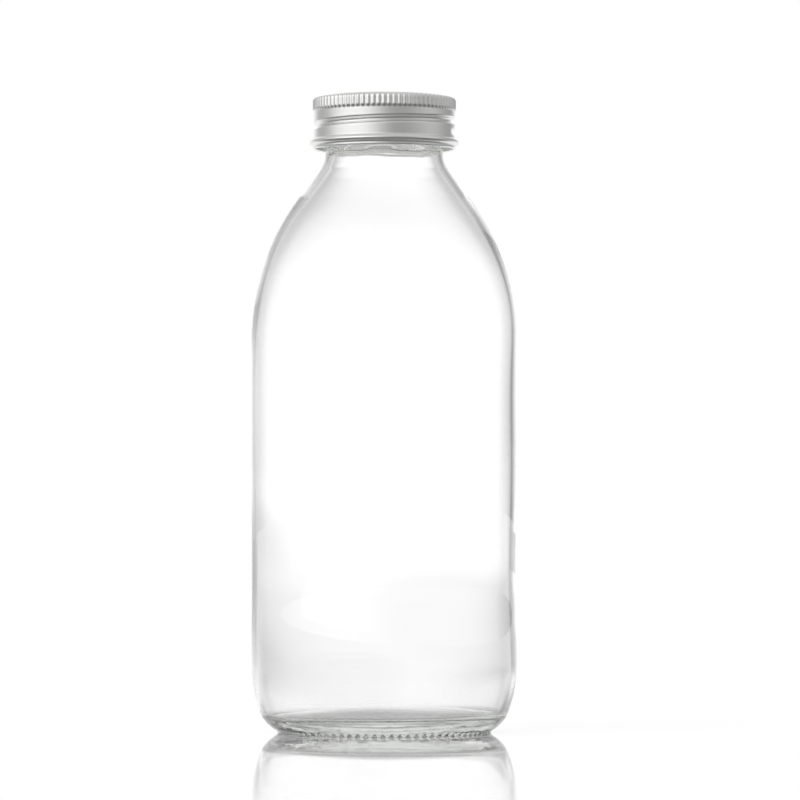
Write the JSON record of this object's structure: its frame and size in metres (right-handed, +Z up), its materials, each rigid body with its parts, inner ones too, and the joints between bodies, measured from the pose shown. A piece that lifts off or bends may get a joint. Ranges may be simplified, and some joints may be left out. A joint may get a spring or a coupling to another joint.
{
  "type": "glass milk bottle",
  "caption": "Round clear-glass milk bottle with a sloping shoulder, stippled base ring and threaded neck, closed by a knurled aluminium screw cap with a foam liner.",
  "frame": {"origin": "centre of the base, on the surface the bottle stands on", "axes": "+Z up along the bottle's axis; +X to the right and -Y towards the viewer"},
  "size_m": [0.073, 0.073, 0.1747],
  "materials": {
    "clear_glass": "clear soda-lime glass with a faint green tint",
    "satin_aluminium": "satin, fine circumferential brushing",
    "foam": "matte expanded polyethylene foam"
  },
  "bodies": {
    "bottle": {"bottle": "clear_glass"},
    "liner": {"cap_liner": "foam"},
    "cap": {"cap_shell": "satin_aluminium"}
  },
  "joints": [
    {"name": "cap_rise", "type": "slide", "parent": "bottle", "child": "liner", "axis": [0, 0, 1], "range_m": [0, 0.01588]},
    {"name": "cap_turn", "type": "hinge", "parent": "liner", "child": "cap", "pos_m": [0, 0, 0.1674], "axis": [0, 0, 1], "range_deg": [0, 1800]}
  ],
  "couplings": [
    {"joint": "cap_rise", "follows": "cap_turn", "m_per_rad": 0.00050532}
  ]
}
